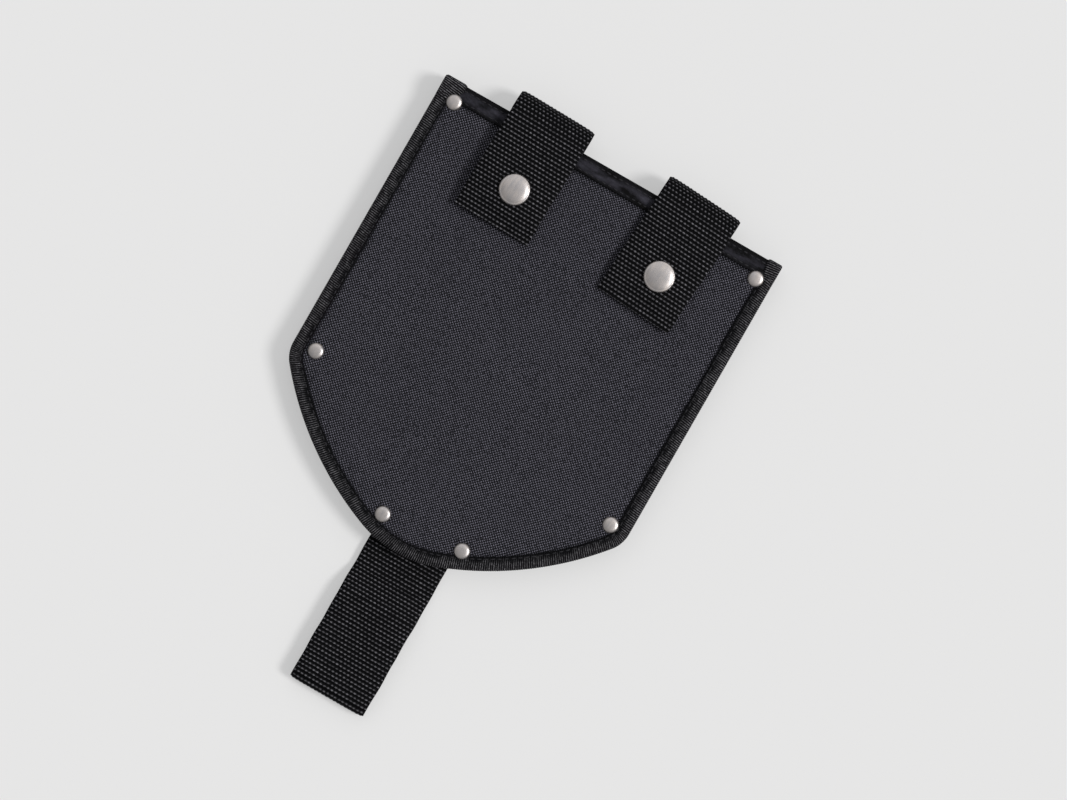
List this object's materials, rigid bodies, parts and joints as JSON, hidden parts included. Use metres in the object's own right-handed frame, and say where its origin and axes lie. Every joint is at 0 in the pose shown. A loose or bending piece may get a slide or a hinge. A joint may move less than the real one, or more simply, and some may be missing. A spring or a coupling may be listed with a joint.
{
  "type": "shovel blade sheath",
  "caption": "Flat fabric sheath for a camp shovel's blade, with bound and riveted edges, snap straps over its mouth and a webbing belt loop at its tip.",
  "frame": {"origin": "bottom centre of the overall box, on the surface that the sheath's back lies on", "axes": "+Z out of the front panel, +Y out of the pocket's mouth, +X to the right seen from the front"},
  "size_m": [0.175, 0.283, 0.022],
  "materials": {
    "cordura": "coated woven nylon, matt",
    "webbing": "coarse woven nylon webbing",
    "binding_tape": "ribbed tape",
    "hem_tape": "smooth tape",
    "board": "extruded sheet",
    "welt": "cut sheet",
    "nickel": "satin nickel plate"
  },
  "bodies": {
    "sheath": {"back_shell": "cordura", "front_shell": "cordura", "back_board": "board", "front_board": "board", "welt": "welt", "mouth_hem_back": "hem_tape", "mouth_hem_front": "hem_tape", "edge_binding": "binding_tape", "rivet_caps": "nickel", "rivet_backs": "nickel", "strap_left_anchor": "webbing", "strap_left_fold": "webbing", "strap_right_anchor": "webbing", "strap_right_fold": "webbing", "snap_studs": "nickel", "snap_posts": "nickel", "belt_loop_anchor": "webbing"},
    "strap_left": {"strap_left_flap": "webbing", "snap_cap_left": "nickel", "snap_socket_left": "nickel"},
    "strap_right": {"strap_right_flap": "webbing", "snap_cap_right": "nickel", "snap_socket_right": "nickel"},
    "loop": {"belt_loop": "webbing"}
  },
  "joints": [
    {"name": "strap_left_open", "type": "hinge", "parent": "sheath", "child": "strap_left", "pos_m": [-0.03515, 0.13121, 0.00984], "axis": [-0.9997, 0.0236, 0], "range_deg": [0, 180], "deforming": ["strap_left_fold"]},
    {"name": "strap_right_open", "type": "hinge", "parent": "sheath", "child": "strap_right", "pos_m": [0.04158, 0.13038, 0.00967], "axis": [-0.998, 0.0628, 0], "range_deg": [0, 180], "deforming": ["strap_right_fold"]},
    {"name": "belt_loop_swing", "type": "hinge", "parent": "sheath", "child": "loop", "pos_m": [0.0051, -0.07055, 0.0016], "axis": [1, 0, 0], "range_deg": [-90, 90]}
  ]
}
